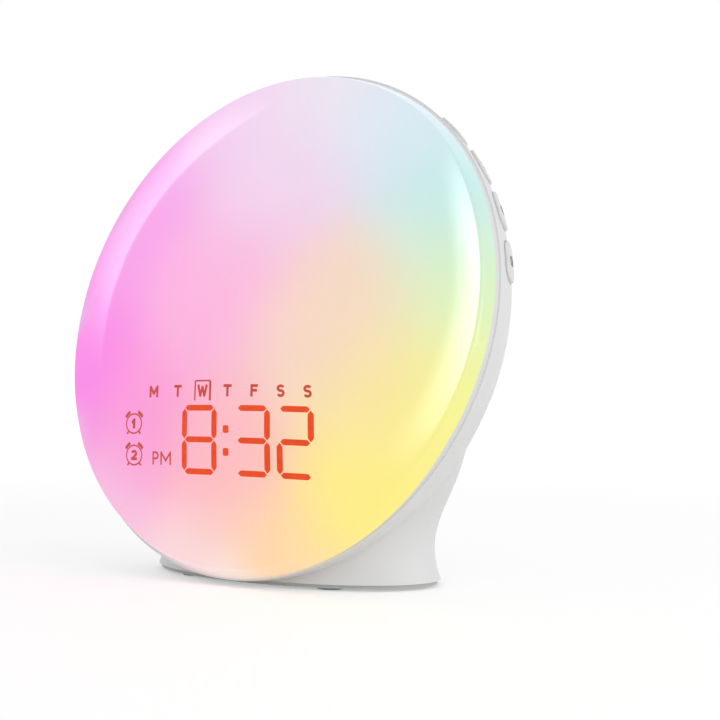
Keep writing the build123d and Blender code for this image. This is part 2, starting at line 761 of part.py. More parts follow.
def speaker_cone():
    """Paper cone with its half-round surround and dust cap."""
    edge = surround_radius - surround_gap
    neck = coil_radius - cone_wall
    outline = Polyline((edge, 0), (edge, cone_wall), (cone_radius, cone_wall),
                       (coil_radius, cone_depth + cone_wall), (neck, cone_depth + cone_wall),
                       (neck, cone_depth), (cone_radius - cone_wall / 2, 0), (edge, 0))
    cone = revolve(Plane.XZ * make_face(outline), Axis.Z)
    roll = Pos(0, 0, cone_wall / 2) * Torus((surround_radius + cone_radius) / 2, roll_share * cone_wall)
    cap = Sphere(cap_sphere_radius) - Sphere(cap_sphere_radius - cone_wall)
    cap = Pos(0, 0, cone_depth - cap_sink + cap_sphere_radius) * cap
    cap &= post(coil_radius + cone_wall, 0, cone_depth + cone_wall)
    return Pos(0, 0, cone_setback - speaker_front) * (cone + roll + cap)


def speaker_magnet():
    """Ring magnet with its back plate."""
    back = -speaker_basket_back
    magnet = post(magnet_radius, back, back + magnet_height)
    return magnet + post(yoke_radius, back + magnet_height, back + magnet_height + yoke_height)


# ---------------------------------------------------------------- base
def base_plate():
    """Plate under the pedestal: locating rim, pillars, foot recesses, cell cup and board posts."""
    room = pedestal_solid(housing_wall + rim_gap)
    plate = foot_oval(plate_inset, plate_bottom, shell_bottom)
    plate += foot_oval(plate_inset, shell_bottom, plate_top) & room
    rim = foot_oval(plate_inset, plate_top, plate_top + rim_height) & room
    plate += rim - pedestal_solid(housing_wall + rim_gap + rim_wall)
    x, y = base_screw_place
    bx, by = main_post_place
    for sx in (-1, 1):
        for sy in (-1, 1):
            plate += post(base_boss_radius, shell_bottom, plate_top + pillar_height, sx * x, sy * y) & room
            plate += post(main_post_radius, shell_bottom, main_board_bottom, sx * bx, main_board_y + sy * by)
    plate += ring(cup_radius + cup_wall, cup_radius, plate_top, cup_top)
    plate += post(cup_radius + cup_wall, cup_top, cup_top + cup_roof)
    notch = door_radius + lug_reach + lug_play
    reach = lug_span / 2 + notch_ease
    opening = Circle(door_radius + door_gap)
    opening += [sector(notch, door_radius, a - reach, a + reach) for a in entry_angles()]
    plate -= extrude(opening, plate_top)
    fx, fy = foot_place
    thread = small_screw_radius + thread_gap
    for sx in (-1, 1):
        for sy in (-1, 1):
            plate -= post(screw_head_radius + head_gap, 0, plate_top, sx * x, sy * y)
            plate -= post(screw_radius + screw_clearance, 0, plate_top + pillar_height, sx * x, sy * y)
            plate -= post(thread, main_board_top - post_screw_length, main_board_bottom,
                          sx * bx, main_board_y + sy * by)
            plate -= post(foot_radius, 0, plate_bottom + foot_recess, sx * fx, sy * fy)
    return plate


def lug_angles():
    """Clock angles of the door's lugs when it is locked."""
    return tuple(120.0 * k for k in range(3))


def entry_angles():
    """Clock angles of the notches that the lugs drop through."""
    return tuple(a + door_turn for a in lug_angles())


def battery_door():
    """Round twist-lock door with a coin slot below and three lugs above the plate."""
    door = post(door_radius, door_bottom, lug_top)
    half = lug_span / 2
    lugs = [sector(door_radius + lug_reach, door_radius - cut_past, a - half, a + half) for a in lug_angles()]
    door += [Pos(0, 0, lug_bottom) * extrude(lug, lug_height) for lug in lugs]
    long, wide, deep = coin_slot
    return door - Pos(0, 0, door_bottom) * Box(long, wide, 2 * deep)


def coin_cell():
    """Memory cell: can with a rounded edge and a smaller cap."""
    inset, rise = cell_cap
    can = post(cell_radius, cell_bottom, cell_bottom + cell_height - rise)
    can = fillet(can.edges().sort_by(Axis.Z)[-1], cell_round)
    return can + post(cell_radius - inset, cell_bottom, cell_bottom + cell_height)


def battery_contacts():
    """Two sprung leaves against the roof of the cup."""
    under = cup_top - contact_thickness
    long, wide = top_leaf
    leaf = block(-long, long, -wide, wide, under, cup_top)
    near = cell_radius + side_leaf_gap
    half = side_leaf_half
    side = block(near, near + contact_thickness, -half, half, cell_bottom, cup_top)
    side += block(cell_radius - half, near + contact_thickness, -half, half, under, cup_top)
    return group([leaf, side])


def rubber_feet():
    """Four round feet with a softened lower edge."""
    foot = post(foot_radius - foot_gap, 0, plate_bottom + foot_recess)
    foot = fillet(foot.edges().sort_by(Axis.Z)[0], foot_round)
    x, y = foot_place
    return group(Pos(sx * x, sy * y, 0) * foot for sx in (-1, 1) for sy in (-1, 1))


# ---------------------------------------------------------------- main board
def jack_axis_height():
    """Height of the power inlet's axis: half its body above the main board."""
    return main_board_top + jack_body[2] / 2


def skin_y(x, height):
    """How far back the housing's skin stands at a place above the foot, between two sections."""
    below = max(s for s in pedestal_sections if s[0] <= height)
    above = min(s for s in pedestal_sections if s[0] > height)
    share = (height - below[0]) / (above[0] - below[0])
    a, y, b = (below[k] + share * (above[k] - below[k]) for k in (1, 2, 3))
    return y + b * sqrt(1 - (x / a) ** 2)


def dc_jack():
    """Power inlet: square body on the board and a round nose in the housing's hole."""
    mouth = skin_y(jack_x, jack_axis_height()) - jack_recess
    shoulder = skin_y(jack_x + jack_body[0] / 2, jack_axis_height()) - housing_wall - jack_body_gap
    wide, long, tall = jack_body
    body = block(jack_x - wide / 2, jack_x + wide / 2, shoulder - long, shoulder, main_board_top,
                 main_board_top + tall)
    axis = Pos(jack_x, mouth, jack_axis_height()) * Rot(-90, 0, 0)
    nose = axis * post(jack_nose_radius, shoulder - mouth - cut_past, 0)
    return body + nose - axis * post(jack_bore_radius, -jack_bore_depth, 0)


def dc_jack_pin():
    """Centre contact of the power inlet."""
    mouth = skin_y(jack_x, jack_axis_height()) - jack_recess
    pin = post(jack_pin_radius, -jack_bore_depth, -jack_pin_back)
    pin = fillet(pin.edges().sort_by(Axis.Z)[-1], jack_pin_round)
    return Pos(jack_x, mouth, jack_axis_height()) * Rot(-90, 0, 0) * pin


def main_board():
    """Board on its four posts, with screw holes."""
    wide, deep = main_board_size
    sheet = RectangleRounded(wide, deep, main_board_round)
    bx, by = main_post_place
    sheet -= [Pos(sx * bx, sy * by) * Circle(small_screw_radius + small_clearance)
              for sx in (-1, 1) for sy in (-1, 1)]
    return Pos(0, main_board_y, main_board_bottom) * extrude(sheet, board_thickness)


def processor():
    """Clock processor in a flat square package with a chamfered top."""
    wide, deep, tall = processor_size
    chip = Pos(*processor_place, main_board_top + tall / 2) * Box(wide, deep, tall)
    return chamfer(chip.faces().sort_by(Axis.Z)[-1].edges(), processor_chamfer)


def capacitors():
    """Electrolytic capacitors with a rolled groove near the foot."""
    can = post(capacitor_radius, main_board_top, main_board_top + capacitor_height)
    can = fillet(can.edges().sort_by(Axis.Z)[-1], can_round)
    groove, level, outside = can_groove
    can -= Pos(0, 0, main_board_top + level) * Torus(capacitor_radius + outside, groove)
    return group(Pos(x, y, 0) * can for x, y in capacitor_places)


def cable_entry_y():
    """Height of the ribbon cable on the chassis back, in the head frame."""
    return light_box[3] - cable_drop


def cable_points():
    """Ribbon route in the y-z plane: out of the chassis back, down into the main board's header."""
    start = head * Pos(0, cable_entry_y(), light_box_back - board_thickness)
    out = head * Pos(0, cable_entry_y(), -chassis_floor_back - cable_reach)
    a, b = start.position, out.position
    top = main_board_top + header_size[2]
    return [(a.Y, a.Z), (b.Y, b.Z), (b.Y, top)]


def cable_header():
    """Socket on the main board that the ribbon cable drops into."""
    long, deep, tall = header_size
    y = cable_points()[-1][0]
    return block(cable_x - long / 2, cable_x + long / 2, y - deep / 2, y + deep / 2, main_board_top,
                 main_board_top + tall)


def ribbon_cable():
    """Flat cable between the display board's side and the main board."""
    route = FilletPolyline(*cable_points(), radius=cable_bend)
    strip = Plane.YZ * trace(route, cable_thickness)
    return Pos(cable_x - cable_width / 2, 0, 0) * extrude(strip, cable_width)


# ---------------------------------------------------------------- screws
def chassis_screws():
    """Four screws through the chassis floor into the housing's posts."""
    screw = crossed_screw(screw_radius, screw_head_radius, screw_head_height, screw_length)
    screw = Pos(0, 0, -chassis_floor_front) * screw
    return group(Pos(*polar(chassis_post_place, a)) * screw for a in chassis_post_angles)


def light_board_screws():
    """Four small screws that hold the light board to the chassis."""
    screw = crossed_screw(small_screw_radius, small_head_radius, small_head_height, light_screw_length)
    seat = board_thickness - chassis_floor_front
    return group(Pos(*polar(light_screw_place, a), seat) * screw for a in light_screw_angles)


def display_board_screws():
    """Four small screws that hold the display board on its posts."""
    screw = crossed_screw(small_screw_radius, small_head_radius, small_head_height, post_screw_length)
    return group(Pos(x, y, light_box_back) * screw for x, y in display_screws)


def speaker_screws():
    """Four small screws through the speaker's flange, heads towards the chassis."""
    screw = crossed_screw(small_screw_radius, small_head_radius, small_head_height, speaker_screw_length)
    seat = speaker_flange - speaker_front
    return group(Pos(x, y, seat) * screw for x, y in speaker_boss_places())


def main_board_screws():
    """Four small screws that hold the main board on its posts."""
    screw = crossed_screw(small_screw_radius, small_head_radius, small_head_height, post_screw_length)
    bx, by = main_post_place
    return group(Pos(sx * bx, main_board_y + sy * by, main_board_top) * screw
                 for sx in (-1, 1) for sy in (-1, 1))


def base_screws():
    """Four screws driven up through the base plate into the housing's bosses."""
    screw = Rot(180, 0, 0) * crossed_screw(screw_radius, screw_head_radius, screw_head_height, screw_length)
    x, y = base_screw_place
    return group(Pos(sx * x, sy * y, plate_top) * screw for sx in (-1, 1) for sy in (-1, 1))


# ---------------------------------------------------------------- write every node
right_names = ("alarm_one_button", "alarm_two_button", "light_button", "colour_button")
left_names = ("time_set_button", "volume_up_button", "volume_down_button", "radio_button")

cap = rim_button()
nodes = {
    "diffuser_lens": head * diffuser_lens(),
    "rear_housing": rear_housing(),
    "snooze_button": head * snooze_button(),
    "right_key_board": head * key_board(1),
    "left_key_board": head * key_board(-1),
    "right_key_switches": head * bank_switches(1),
    "left_key_switches": head * bank_switches(-1),
    "snooze_board": head * snooze_board(),
    "snooze_switch": head * snooze_switch(),
    "light_chassis": head * light_chassis(),
    "light_board": head * light_board(),
    "lamps": head * lamps(),
    "display_light_box": head * display_light_box(),
    "display_inserts": head * display_inserts(),
    "display_board": head * display_board(),
    "speaker_frame": head * speaker_frame(),
    "speaker_cone": head * speaker_cone(),
    "speaker_magnet": head * speaker_magnet(),
    "base_plate": base_plate(),
    "rubber_feet": rubber_feet(),
    "battery_door": battery_door(),
    "coin_cell": coin_cell(),
    "battery_contacts": battery_contacts(),
    "dc_jack": dc_jack(),
    "dc_jack_pin": dc_jack_pin(),
    "main_board": main_board(),
    "processor": processor(),
    "capacitors": capacitors(),
    "cable_header": cable_header(),
    "ribbon_cable": ribbon_cable(),
    "chassis_screws": head * chassis_screws(),
    "light_board_screws": head * light_board_screws(),
    "display_board_screws": head * display_board_screws(),
    "speaker_screws": head * speaker_screws(),
    "main_board_screws": main_board_screws(),
    "base_screws": base_screws(),
}
for names, sign in ((right_names, 1), (left_names, -1)):
    for name, angle in zip(names, button_angles):
        nodes[name] = head * at_clock(sign * angle) * cap

front = nodes["diffuser_lens"].bounding_box().min.Y
back = nodes["rear_housing"].bounding_box().max.Y
centred = Pos(0, -(front + back) / 2, 0)

os.makedirs("parts", exist_ok=True)
for name, shape in nodes.items():
    export_step(centred * shape, f"parts/{name}.step")
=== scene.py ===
import json
from math import asin, atan2, cos, hypot, pi, radians, sin, tan

import bmesh
import bpy
import numpy as np
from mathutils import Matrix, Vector


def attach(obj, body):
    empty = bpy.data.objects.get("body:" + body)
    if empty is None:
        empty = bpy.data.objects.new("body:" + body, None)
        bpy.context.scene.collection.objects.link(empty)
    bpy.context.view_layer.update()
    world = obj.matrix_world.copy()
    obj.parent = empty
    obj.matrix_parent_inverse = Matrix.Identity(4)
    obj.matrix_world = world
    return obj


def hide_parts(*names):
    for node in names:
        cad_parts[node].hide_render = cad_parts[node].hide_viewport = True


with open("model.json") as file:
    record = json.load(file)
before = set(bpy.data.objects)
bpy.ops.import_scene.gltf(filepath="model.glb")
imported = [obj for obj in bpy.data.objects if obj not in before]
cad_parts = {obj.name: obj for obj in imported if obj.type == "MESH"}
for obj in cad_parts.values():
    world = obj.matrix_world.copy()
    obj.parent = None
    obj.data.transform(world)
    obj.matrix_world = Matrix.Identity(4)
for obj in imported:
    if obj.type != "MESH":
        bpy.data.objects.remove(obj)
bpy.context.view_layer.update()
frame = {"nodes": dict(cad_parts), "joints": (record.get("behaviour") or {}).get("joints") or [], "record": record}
mm = 0.001


# ================================================================ lens
# One round dome of milky acrylic, moulded with a drafted side wall and a collar that clicks into the
# housing's mouth. Lamps of several colours stand behind it, and their glows run into one another.
press = next(j for j in frame["joints"] if j["name"] == "snooze_press")["axis"]
face_up = -Vector(press).normalized()                   # up along the leaning face
face_out = Vector((0.0, -face_up.z, face_up.y))
face_lean = atan2(face_up.y, face_up.z)
seam_centre = Vector((0.0, -11.043, 85.3)) * mm
lens_radius = 85.0
crease_radius = 82.7
crease_height = 5.8
dome_rise = 9.8
dome_peak = crease_height + dome_rise
dome_radius = (crease_radius ** 2 + dome_rise ** 2) / (2 * dome_rise)
crease_round = 0.6
side_foot = 0.25                    # upright edge at the foot of the side wall
lens_wall = 2.2
collar_radius = 82.95
collar_wall = 1.8
collar_depth = 2.4


def on_face(x, y, z):
    """Head frame to row frame, in millimetres: x right, y up along the face, z out of it, 0 at the seam."""
    x, y, z = np.broadcast_arrays(x, y, z)
    place = x[..., None] * np.array((1.0, 0.0, 0.0)) + y[..., None] * np.array(face_up)
    return (place + z[..., None] * np.array(face_out)) * mm + np.array(seam_centre)


def new_object(name, data):
    """An object at the origin that shows a mesh, a lamp or a camera."""
    piece = bpy.data.objects.new(name, data)
    bpy.context.scene.collection.objects.link(piece)
    return piece


def skin(name, grid):
    """A closed skin over a grid of points: row after row, with the columns running round and meeting.
    Points that fall together, as at a pole, are merged, and the faces are turned outwards."""
    rows, columns = grid.shape[:2]
    index = np.arange(rows * columns).reshape(rows, columns)
    beside = np.roll(index, -1, axis=1)
    quads = np.stack([index[:-1], beside[:-1], beside[1:], index[1:]], axis=-1).reshape(-1, 4)
    mesh = bpy.data.meshes.new(name)
    mesh.from_pydata(grid.reshape(-1, 3), [], quads)
    work = bmesh.new()
    work.from_mesh(mesh)
    bmesh.ops.remove_doubles(work, verts=work.verts, dist=1e-7)
    bmesh.ops.dissolve_degenerate(work, edges=work.edges, dist=1e-8)
    bmesh.ops.recalc_face_normals(work, faces=work.faces)
    work.to_mesh(mesh)
    work.free()
    return new_object(name, mesh)


def shade(piece, edge):
    """Smooth shading, except across edges that turn by more than the given degrees."""
    flags = np.ones(len(piece.data.polygons), bool)
    piece.data.polygons.foreach_set("use_smooth", flags)
    piece.data.set_sharp_from_angle(angle=radians(edge))


def turned(radii, heights, around):
    """Grid of a profile turned about the face's axis: (r sin a, r cos a, h) for each profile point."""
    turn = np.linspace(0, 2 * pi, around, endpoint=False)
    r, h = np.asarray(radii)[:, None], np.asarray(heights)[:, None]
    return on_face(r * np.sin(turn), r * np.cos(turn), h + 0 * turn)


def dome_height(rho, drop=0.0):
    """Height of the dome over the seam at a distance from its axis: the cap of a sphere, whose radius is
    less by the drop about the same centre."""
    return dome_peak - dome_radius + np.sqrt((dome_radius - drop) ** 2 - rho ** 2)


def lens_profile():
    """Profile from the outer pole to the inner one: cap, rounded crease, drafted side, collar, inner cap.
    The crease is an arc whose centre lies one rounding inside both the cap and the side."""
    side = atan2(lens_radius - crease_radius, crease_height)        # draft from the face's axis
    cap_turn = asin(crease_radius / dome_radius)                    # normal of the cap at the crease
    side_turn = pi / 2 - side
    reach = crease_round * tan((side_turn - cap_turn) / 2)
    cap_end = crease_radius - reach * cos(cap_turn)
    centre_r = cap_end - crease_round * sin(cap_turn)
    centre_h = dome_height(cap_end) - crease_round * cos(cap_turn)
    bend = np.linspace(cap_turn, side_turn, 9)
    cap = np.linspace(0, cap_end, 90)[:-1]
    collar = np.array([(lens_radius, side_foot), (lens_radius, 0.0), (collar_radius, 0.0),
                       (collar_radius, -collar_depth), (collar_radius - collar_wall, -collar_depth)])
    inner_cap = np.linspace(crease_radius - lens_wall, 0, 60)
    radii = np.concatenate([cap, centre_r + crease_round * np.sin(bend), collar[:, 0], inner_cap])
    heights = np.concatenate([dome_height(cap), centre_h + crease_round * np.cos(bend), collar[:, 1],
                              dome_height(inner_cap, lens_wall)])
    return radii, heights


def plain_finish(name, colour, roughness, sockets=None):
    """A new material: its shader with the plain sockets set, and object coordinates for its nodes."""
    material = bpy.data.materials.new(name)
    material.use_nodes = True
    shader = material.node_tree.nodes["Principled BSDF"]
    shader.inputs["Base Color"].default_value = (*colour, 1.0)
    shader.inputs["Roughness"].default_value = roughness
    for socket, value in (sockets or {}).items():
        shader.inputs[socket].default_value = value
    place = material.node_tree.nodes.new("ShaderNodeTexCoord").outputs["Object"]
    return material, shader, place


def add_node(material, kind, links, **settings):
    """A node of the kind, its inputs linked or set by number, and its settings given."""
    node = material.node_tree.nodes.new(kind)
    for setting, value in settings.items():
        setattr(node, setting, value)
    for socket, value in links.items():
        if isinstance(value, bpy.types.NodeSocket):
            material.node_tree.links.new(value, node.inputs[socket])
        else:
            node.inputs[socket].default_value = value
    return node


def wire(material, shader, sources):
    """Links each source to the shader's socket of that name."""
    for socket, source in sources.items():
        material.node_tree.links.new(source, shader.inputs[socket])


def maths(material, operation, first, second=0.0):
    """One step of arithmetic on a factor, or between two of them."""
    return add_node(material, "ShaderNodeMath", {0: first, 1: second}, operation=operation).outputs[0]


def scaled(material, colour, scale):
    """A colour times a factor."""
    return add_node(material, "ShaderNodeVectorMath", {0: colour, "Scale": scale},
                    operation="SCALE").outputs[0]


def mapped(material, value, source, target=(0.0, 1.0), smooth=False):
    """A factor run from one range over another, evenly or in a smooth step, and held at its ends."""
    return add_node(material, "ShaderNodeMapRange", {
        "Value": value, "From Min": source[0], "From Max": source[1],
        "To Min": target[0], "To Max": target[1]},
        interpolation_type="SMOOTHSTEP" if smooth else "LINEAR").outputs[0]


def noise(material, place, size, detail=2.0, stretch=(1.0, 1.0, 1.0)):
    """Noise whose patches are about the given size in millimetres, stretched along the axes."""
    drawn = add_node(material, "ShaderNodeMapping", {"Vector": place, "Scale": [1.0 / s for s in stretch]})
    return add_node(material, "ShaderNodeTexNoise", {
        "Vector": drawn.outputs[0], "Scale": 1.0 / (size * mm), "Detail": detail}).outputs["Fac"]


def spread(material, source, low, high):
    """Runs noise, which lies about 0.3 to 0.7, over a range of values."""
    return mapped(material, source, (0.3, 0.7), (low, high))


def relief(material, shader, source, depth):
    """Bump from a factor, with its depth in millimetres."""
    bump = add_node(material, "ShaderNodeBump", {"Height": source, "Distance": depth * mm, "Strength": 1.0})
    wire(material, shader, {"Normal": bump.outputs[0]})


glows = (   # place on the face, reach in millimetres, colour
    ((-78, -24), 30, (0.95, 0.19, 0.78)),
    ((-62, 40), 30, (0.93, 0.32, 0.82)),
    ((-25, 78), 26, (0.90, 0.61, 0.87)),
    ((18, 84), 26, (0.83, 0.79, 0.87)),
    ((48, 68), 24, (0.67, 0.80, 0.89)),
    ((78, 40), 24, (0.55, 0.82, 0.80)),
    ((84, 4), 22, (0.68, 0.87, 0.52)),
    ((80, -30), 22, (0.91, 0.92, 0.26)),
    ((56, -60), 24, (1.00, 0.86, 0.20)),
    ((22, -84), 22, (0.99, 0.68, 0.38)),
    # painted reflection: this pale glow and the one at (2, -89) make the bottom rim paler, as the table would
    # shine in its gloss
    ((-14, -88), 20, (0.97, 0.72, 0.74)),
    ((-58, -68), 22, (0.92, 0.56, 0.74)),
    ((-40, -40), 22, (0.98, 0.31, 0.67)),
    ((-14, 6), 26, (0.98, 0.45, 0.73)),
    ((4, 44), 24, (0.87, 0.65, 0.85)),
    ((-2, -50), 22, (0.99, 0.48, 0.52)),
    ((34, -8), 24, (0.92, 0.69, 0.53)),
    ((54, -30), 18, (0.97, 0.78, 0.32)),
    ((2, -89), 9, (0.93, 0.86, 0.88)),          # the last four are at the rim: this pale one is a painted reflection of the table in the bottom rim, and the other three make the left rim dimmer and greyer
    ((-78, -42), 8, (0.82, 0.62, 0.70)),
    ((-86, 2), 6, (0.70, 0.52, 0.77)),
    ((-75, 43), 7, (0.66, 0.38, 0.60)),
)
lip_fade = (-80.0, -40.0)           # painted shade: up the face, the lip goes from lit to unlit between these places
lip_level = (-0.3, 1.2)             # height over the seam at which the light begins, at either of them
lip_blur = 0.5
unlit_acrylic = (0.78, 0.79, 0.80, 1)
painted_glow_share = 0.25                   # painted light: the share of its light's colour that a lit surface shows as its body colour


def glow_colour(material, place):
    """Colour of the lit lens: each lamp's colour weighted by exp(-(distance / reach)^2), over the weights'
    sum. With it come the place up the face and the height over the seam, in millimetres."""
    head = add_node(material, "ShaderNodeMapping", {
        "Vector": place, "Location": seam_centre, "Rotation": (pi / 2 - face_lean, 0, 0),
        "Scale": (mm, mm, mm)}, vector_type="TEXTURE").outputs[0]
    flat = add_node(material, "ShaderNodeVectorMath", {0: head, 1: (1, 1, 0)},
                    operation="MULTIPLY").outputs[0]
    weights, colours = [], []
    for (x, y), reach, colour in glows:
        away = add_node(material, "ShaderNodeVectorMath", {0: flat, 1: (x, y, 0)}, operation="DISTANCE")
        share = maths(material, "DIVIDE", away.outputs["Value"], reach)
        fading = maths(material, "MULTIPLY", maths(material, "POWER", share, 2.0), -1.0)
        weights.append(maths(material, "EXPONENT", fading))
        colours.append(scaled(material, colour, weights[-1]))
    total, mixed = weights[0], colours[0]
    for weight, colour in zip(weights[1:], colours[1:]):
        total = maths(material, "ADD", total, weight)
        mixed = add_node(material, "ShaderNodeVectorMath", {0: mixed, 1: colour}, operation="ADD").outputs[0]
    axes = add_node(material, "ShaderNodeSeparateXYZ", {"Vector": head}).outputs
    return scaled(material, mixed, maths(material, "DIVIDE", 1.0, total)), axes["Y"], axes["Z"]


lens = skin("lens_dome", turned(*lens_profile(), 288))
shade(lens, 30)
milky, shader, place = plain_finish("milky_acrylic", (0.3, 0.25, 0.25), 0.4, {
    "Specular IOR Level": 0.1, "Coat Weight": 1.0, "Coat Roughness": 0.04, "Coat IOR": 1.5,
    "Emission Strength": 0.8})
glow, up_face, height = glow_colour(milky, place)
clouded = scaled(milky, glow, spread(milky, noise(milky, place, 26, 3.0), 0.985, 1.015))
# painted shade: the glow stops short of the seam by a band that widens up the face, where the lip shows unlit
# acrylic
lip = mapped(milky, up_face, lip_fade, lip_level)
lit_above = mapped(milky, height, (lip, maths(milky, "ADD", lip, lip_blur)), smooth=True)
# painted light: where lit, the lens's body colour is a dim copy of its glow's colour
body_colour = add_node(milky, "ShaderNodeMix", {
    0: lit_above, 6: unlit_acrylic, 7: scaled(milky, clouded, painted_glow_share)}, data_type="RGBA")
wire(milky, shader, {
    "Base Color": body_colour.outputs[2],
    "Emission Color": scaled(milky, clouded, lit_above),
    "Roughness": spread(milky, noise(milky, place, 1.2), 0.36, 0.46)})
relief(milky, shader, noise(milky, place, 9), 0.01)
lens.data.materials.append(milky)
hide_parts("diffuser_lens")
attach(lens, "clock")


# ================================================================ display marks
# Orange-red light of the display where it comes through the lens: seven-bar digits, a colon, the days
# of the week with a bracket over the third, two bell clocks with their numbers, and the afternoon mark.
digit_height = 22.0
level_bar = 1.85                    # widths of the lying bars and of the standing ones
upright_bar = 2.2
bar_gap = 0.28                      # from a bar's tip to the middle line of the next bar
digit_mid = -43.4
digit_lean = -0.10                  # the marks' tops stand this much to the left
mark_lift = 0.04                    # a mark's face above the lens
mark_sunk = 0.12                    # and its back below the lens
bars_of = {"8": "abcdefg", "3": "abcdg", "2": "abdeg"}
digits_shown = (("8", -10.4, 15.0), ("3", 11.3, 13.8), ("2", 27.4, 13.5))      # digit, place and width


def on_lens(x, y, lift):
    """Display place to row frame: leaned about the digits' middle, set on the dome, and lifted off it."""
    x = x + digit_lean * (y - digit_mid)
    return on_face(x, y, dome_height(np.hypot(x, y)) + lift)


def bar_grid(x, y, length, width, upright):
    """A flat bar with mitred, slightly rounded ends. Half its width at s along it is the smooth smaller of
    w/2 and the distance to its tip, (a^-p + b^-p)^(-1/p), and its section is a flat box about the dome."""
    tip = length / 2
    s = -tip * np.cos(np.linspace(0, pi, 41))[:, None]
    near_tip = np.maximum(tip - np.abs(s), 1e-6)
    half = ((width / 2) ** -7.0 + near_tip ** -7.0) ** (-1 / 7)
    across = np.array([[-1, -1, 0, 1, 1, 0]]) * half
    lift = np.array([[-mark_sunk, mark_lift, mark_lift, mark_lift, -mark_sunk, -mark_sunk]]) + 0 * s
    along = s + 0 * across
    u, v = (across, along) if upright else (along, across)
    return on_lens(u + x, v + y, lift)


def digit_bars(digit, x, wide):
    """Grids of the bars that are lit in one digit, named a to g as usual, clockwise from the top."""
    side = (digit_height - level_bar) / 2
    half = (wide - upright_bar) / 2
    lying = {"a": 1, "g": 0, "d": -1}
    standing = {"f": (-1, 1), "b": (1, 1), "e": (-1, -1), "c": (1, -1)}
    level = [bar_grid(x, digit_mid + lying[k] * side, 2 * (half - bar_gap), level_bar, False)
             for k in bars_of[digit] if k in lying]
    upright = [bar_grid(x + standing[k][0] * half, digit_mid + standing[k][1] * side / 2,
                        side - 2 * bar_gap, upright_bar, True) for k in bars_of[digit] if k in standing]
    return level + upright


def one_piece(name, pieces):
    """Joins several new pieces into one."""
    work = bmesh.new()
    for piece in pieces:
        work.from_mesh(piece.data)
        bpy.data.objects.remove(piece)
    mesh = bpy.data.meshes.new(name)
    work.to_mesh(mesh)
    work.free()
    return new_object(name, mesh)


def rounded_box_grid(x, y, wide, tall):
    """A small upright block with rounded corners about the dome: |u/a|^5 + |v/b|^5 = 1, shrunk to its middle
    above and below."""
    turn = np.linspace(0, 2 * pi, 32, endpoint=False)
    u = np.sign(np.cos(turn)) * np.abs(np.cos(turn)) ** 0.4 * wide / 2
    v = np.sign(np.sin(turn)) * np.abs(np.sin(turn)) ** 0.4 * tall / 2
    size = np.array([0, 1, 1, 0])[:, None]
    lift = np.array([mark_lift, mark_lift, -mark_sunk, -mark_sunk])[:, None] + 0 * turn
    return on_lens(x + size * u, y + size * v, lift)


def stroke_grid(points, width, closed=False, lay=on_lens):
    """A flat stroke about a surface, carried along a line of points: to each side by half its width."""
    path = np.asarray(points, float)
    ahead = np.roll(path, -1, 0) - np.roll(path, 1, 0) if closed else np.gradient(path, axis=0)
    ahead /= np.hypot(ahead[:, 0], ahead[:, 1])[:, None]
    across = np.stack([-ahead[:, 1], ahead[:, 0]], -1)
    sides = np.array([-1, -1, 1, 1]) * width / 2
    lift = np.array([-mark_sunk, mark_lift, mark_lift, -mark_sunk])
    xy = path[:, None, :] + across[:, None, :] * sides[None, :, None]
    if closed:
        xy = np.concatenate([xy, xy[:1]])
    else:
        xy = np.concatenate([path[:1, None, :] + 0 * xy[:1], xy, path[-1:, None, :] + 0 * xy[:1]])
        middle = (mark_lift - mark_sunk) / 2
        lift = np.vstack([[middle] * 4, np.tile(lift, (len(path), 1)), [middle] * 4])
    return lay(xy[..., 0], xy[..., 1], lift + 0 * xy[..., 0])


def arc_line(x, y, wide, tall, start, end, count=24):
    """Points of an arc with the given half-width and half-height, by clock angles in degrees."""
    turn = np.radians(np.linspace(start, end, count))
    return np.stack([x + wide * np.sin(turn), y + tall * np.cos(turn)], -1)


signs = {   # middle lines of the strokes, in a box one wide and one tall
    "M": [((0, 0), (0, 1)), ((0, 1), (0.5, 0.3)), ((0.5, 0.3), (1, 1)), ((1, 1), (1, 0))],
    "T": [((0, 1), (1, 1)), ((0.5, 1), (0.5, 0))],
    "W": [((0, 1), (0.25, 0)), ((0.25, 0), (0.5, 0.85)), ((0.5, 0.85), (0.75, 0)), ((0.75, 0), (1, 1))],
    "F": [((0, 0), (0, 1)), ((0, 1), (1, 1)), ((0, 0.52), (0.85, 0.52))],
    "S": [np.concatenate([arc_line(0.5, 0.76, 0.5, 0.24, 65, -180), arc_line(0.5, 0.26, 0.5, 0.26, 8, 245)])],
    "P": [((0, 0), (0, 1)), ((0, 1), (0.5, 1)), arc_line(0.5, 0.73, 0.5, 0.27, 0, 180),
          ((0.5, 0.46), (0, 0.46))],
    "1": [((0.6, 0), (0.6, 1)), ((0.6, 1), (0, 0.75))],
    "2": [arc_line(0.5, 0.7, 0.5, 0.3, -75, 118), ((0.94, 0.56), (0, 0)), ((0, 0), (1, 0))],
}
stroke_overrun = 0.45               # of its width, by which a straight stroke runs on past both its ends


def written(sign, x, y, wide, tall, weight, lay=on_lens):
    """A letter, number or sign about a place, in the given width and height: a stroke along each of its
    middle lines, which are drawn in by half a stroke all round."""
    box = np.array((wide - weight, tall - weight))
    strokes = []
    for line in signs[sign]:
        path = (np.asarray(line, float) - 0.5) * box + (x, y)
        if len(path) == 2:
            ahead = (path[1] - path[0]) / hypot(*(path[1] - path[0])) * weight * stroke_overrun
            path = np.linspace(path[0] - ahead, path[1] + ahead, 8)
        strokes.append(skin("stroke", stroke_grid(path, weight, lay=lay)))
    return one_piece("sign", strokes)


